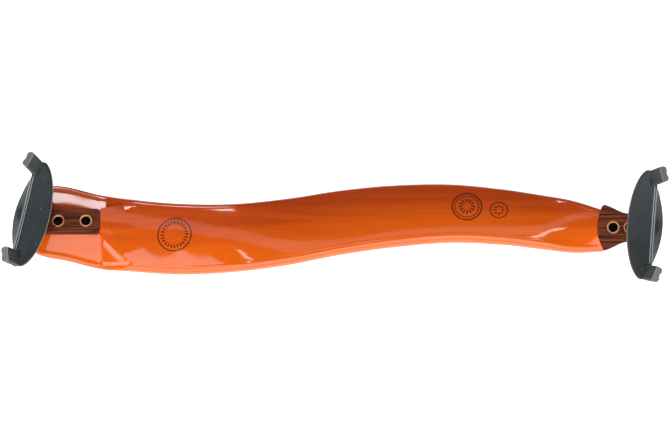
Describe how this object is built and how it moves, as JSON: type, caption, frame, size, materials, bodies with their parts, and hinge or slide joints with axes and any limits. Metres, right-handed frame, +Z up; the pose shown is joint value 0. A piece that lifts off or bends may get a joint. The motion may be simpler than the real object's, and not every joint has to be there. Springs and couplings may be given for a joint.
{
  "type": "violin shoulder rest",
  "caption": "Wave-shaped maple violin shoulder rest with a foam pad, rosewood ends with threaded holes, and two height-adjustable forks with rubber claws.",
  "frame": {"origin": "on the surface that the rest stands on, under the middle of its bounding box", "axes": "+X from the wide chest end to the narrow shoulder end, +Y across the board towards its back edge, +Z up to the violin"},
  "size_m": [0.237, 0.0476, 0.0334],
  "materials": {
    "maple": "gloss",
    "rosewood": "satin",
    "insert_brass": "satin",
    "post_steel": "satin",
    "nut_nickel": "satin",
    "fork_plastic": "satin",
    "boot_rubber": "matte",
    "pad_foam": "matte"
  },
  "bodies": {
    "board": {"maple_body": "maple", "shoulder_pad": "pad_foam", "left_plate": "rosewood", "right_plate": "rosewood", "left_insert_inner": "insert_brass", "left_insert_middle": "insert_brass", "left_insert_outer": "insert_brass", "right_insert_inner": "insert_brass", "right_insert_middle": "insert_brass", "right_insert_outer": "insert_brass"},
    "left_screw": {"left_post": "post_steel"},
    "left_cradle": {"left_fork": "fork_plastic", "left_boot_front": "boot_rubber", "left_boot_back": "boot_rubber"},
    "left_nut": {"left_lock_nut": "nut_nickel"},
    "right_screw": {"right_post": "post_steel"},
    "right_cradle": {"right_fork": "fork_plastic", "right_boot_front": "boot_rubber", "right_boot_back": "boot_rubber"},
    "right_nut": {"right_lock_nut": "nut_nickel"}
  },
  "joints": [
    {"name": "left_height", "type": "slide", "parent": "board", "child": "left_screw", "axis": [0, 0, 1], "range_m": [-0.0007, 0.0042]},
    {"name": "left_turn", "type": "hinge", "parent": "left_screw", "child": "left_cradle", "pos_m": [-0.11, 0.00235, 0.011], "axis": [0, 0, 1], "range_deg": [-360, 2160]},
    {"name": "left_nut_turn", "type": "hinge", "parent": "board", "child": "left_nut", "pos_m": [-0.11, 0.00235, 0.011], "axis": [0, 0, 1], "range_deg": [0, 540]},
    {"name": "right_height", "type": "slide", "parent": "board", "child": "right_screw", "axis": [0, -0.1736, 0.9848], "range_m": [0, 0.0049]},
    {"name": "right_turn", "type": "hinge", "parent": "right_screw", "child": "right_cradle", "pos_m": [0.1115, -0.00083, 0.0134], "axis": [0, -0.1736, 0.9848], "range_deg": [0, 2520]},
    {"name": "right_nut_turn", "type": "hinge", "parent": "board", "child": "right_nut", "pos_m": [0.1115, -0.00083, 0.0134], "axis": [0, -0.1736, 0.9848], "range_deg": [0, 180]}
  ],
  "couplings": [
    {"joint": "left_turn", "follows": "left_height", "rad_per_m": 8976},
    {"joint": "right_turn", "follows": "right_height", "rad_per_m": 8976}
  ]
}
